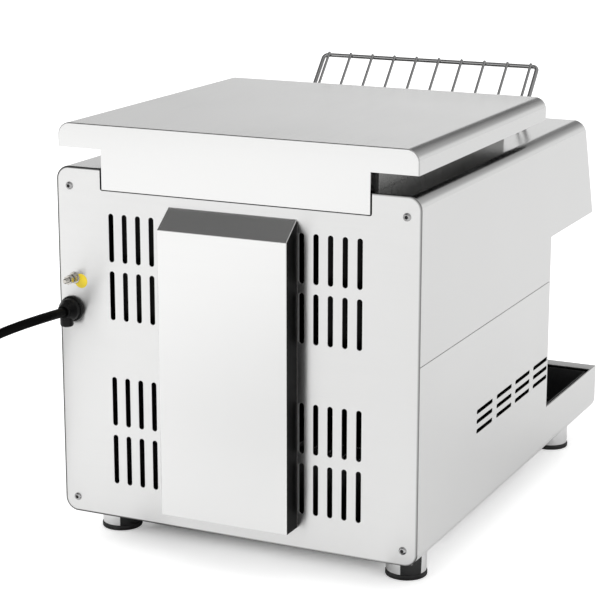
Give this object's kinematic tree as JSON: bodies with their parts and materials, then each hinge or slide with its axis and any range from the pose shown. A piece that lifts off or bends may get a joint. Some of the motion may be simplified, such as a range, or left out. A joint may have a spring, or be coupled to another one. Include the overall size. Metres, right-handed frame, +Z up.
{
  "type": "conveyor toaster",
  "caption": "Countertop stainless steel conveyor toaster with a wire feed rack, a chain-driven wire belt between heating tubes, a return slide and a lift-out toast tray.",
  "frame": {"origin": "on the floor under the middle of the machine without its cord", "axes": "+Z up, the front with its controls and toast tray faces -Y, +X is right seen from the front"},
  "size_m": [0.589, 0.6423, 0.4271],
  "materials": {
    "stainless": "fine satin grain",
    "inner_steel": "plain mill finish",
    "bright_reflector": "bright",
    "wire_steel": "drawn wire",
    "chain_steel": "oiled",
    "bright_chrome": "polished",
    "dark_coated_steel": "satin black coating",
    "black_rubber": "satin",
    "black_plastic": "fine moulded texture",
    "rocker_plastic": "gloss",
    "control_plastic": "moulded",
    "lamp_lens": "clear amber",
    "quartz_tube": "frosted quartz",
    "holder_ceramic": "glazed ceramic",
    "bush_bronze": "sintered bronze",
    "plated_brass": "nickel plated",
    "motor_paint": "satin",
    "lead_insulation": "plain"
  },
  "bodies": {
    "casing": {"base_shell": "stainless", "upper_cover_right": "stainless", "upper_cover_left": "stainless", "rear_panel": "stainless", "top_cover": "stainless", "rear_hood": "stainless", "control_panel": "stainless", "chamber_wall_right": "inner_steel", "chamber_wall_left": "inner_steel", "toast_slide": "inner_steel", "feed_baffle": "inner_steel", "rack_hooks": "inner_steel", "crumb_tray_rails": "inner_steel", "upper_reflector": "bright_reflector", "conveyor_belt": "wire_steel", "fan_guard": "wire_steel", "drive_chain": "chain_steel", "foot_sleeves": "bright_chrome", "rear_panel_screws": "bright_chrome", "foot_screws": "bright_chrome", "foot_pads": "black_rubber", "cord_lead": "black_rubber", "cord_coil": "black_rubber", "cord_tail": "black_rubber", "cable_gland": "black_plastic", "plug_body": "black_plastic", "fan_frame": "black_plastic", "power_switch": "black_plastic", "coil_tie": "black_plastic", "speed_potentiometer": "control_plastic", "heat_selector": "control_plastic", "terminal_block": "control_plastic", "indicator_lamp": "lamp_lens", "upper_element_1": "quartz_tube", "upper_element_2": "quartz_tube", "upper_element_3": "quartz_tube", "lower_element_1": "quartz_tube", "lower_element_2": "quartz_tube", "lower_element_3": "quartz_tube", "element_holders": "holder_ceramic", "shaft_bushes": "bush_bronze", "plug_pins": "plated_brass", "earth_stud": "plated_brass", "earth_nuts": "plated_brass", "gearmotor": "motor_paint", "supply_leads": "lead_insulation"},
    "conveyor_drive": {"drive_shaft": "inner_steel", "drive_belt_wheels": "inner_steel", "drive_sprocket": "inner_steel"},
    "conveyor_idler": {"idler_shaft": "inner_steel", "idler_belt_wheels": "inner_steel"},
    "motor_output": {"motor_shaft": "inner_steel", "motor_sprocket": "inner_steel"},
    "fan_wheel": {"fan_rotor": "black_plastic"},
    "speed_dial": {"speed_knob": "black_plastic"},
    "heat_dial": {"heat_knob": "black_plastic"},
    "rocker": {"power_rocker": "rocker_plastic"},
    "crumb_drawer": {"crumb_tray": "inner_steel"},
    "toast_pan": {"toast_tray": "dark_coated_steel"},
    "rack": {"feed_rack": "wire_steel"}
  },
  "joints": [
    {"name": "conveyor_drive_spin", "type": "hinge", "parent": "casing", "child": "conveyor_drive", "pos_m": [0, 0.1825, 0.293], "axis": [1, 0, 0], "continuous": true},
    {"name": "conveyor_idler_spin", "type": "hinge", "parent": "casing", "child": "conveyor_idler", "pos_m": [0, -0.1275, 0.293], "axis": [1, 0, 0], "continuous": true},
    {"name": "motor_output_spin", "type": "hinge", "parent": "casing", "child": "motor_output", "pos_m": [0.15, 0.1075, 0.095], "axis": [1, 0, 0], "continuous": true},
    {"name": "fan_spin", "type": "hinge", "parent": "casing", "child": "fan_wheel", "pos_m": [0, 0.244, 0.1], "axis": [0, 1, 0], "continuous": true},
    {"name": "speed_turn", "type": "hinge", "parent": "casing", "child": "speed_dial", "pos_m": [0.085, -0.22668, 0.31564], "axis": [0, -0.9399, 0.3414], "range_deg": [-135, 135]},
    {"name": "heat_turn", "type": "hinge", "parent": "casing", "child": "heat_dial", "pos_m": [0.015, -0.22668, 0.31564], "axis": [0, -0.9399, 0.3414], "range_deg": [-90, 90]},
    {"name": "power_rock", "type": "hinge", "parent": "casing", "child": "rocker", "pos_m": [-0.06, -0.22386, 0.31461], "axis": [1, 0, 0], "range_deg": [0, 16]},
    {"name": "crumb_tray_pull", "type": "slide", "parent": "casing", "child": "crumb_drawer", "axis": [0, -1, 0], "range_m": [0, 0.3]},
    {"name": "toast_tray_lift", "type": "slide", "parent": "casing", "child": "toast_pan", "axis": [0, 0, 1], "range_m": [0, 0.12]},
    {"name": "feed_rack_lift", "type": "slide", "parent": "casing", "child": "rack", "axis": [0, -0.6691, 0.7431], "range_m": [0, 0.08]}
  ],
  "couplings": [
    {"joint": "conveyor_idler_spin", "follows": "conveyor_drive_spin", "ratio": 1},
    {"joint": "motor_output_spin", "follows": "conveyor_drive_spin", "ratio": 0.71429}
  ]
}
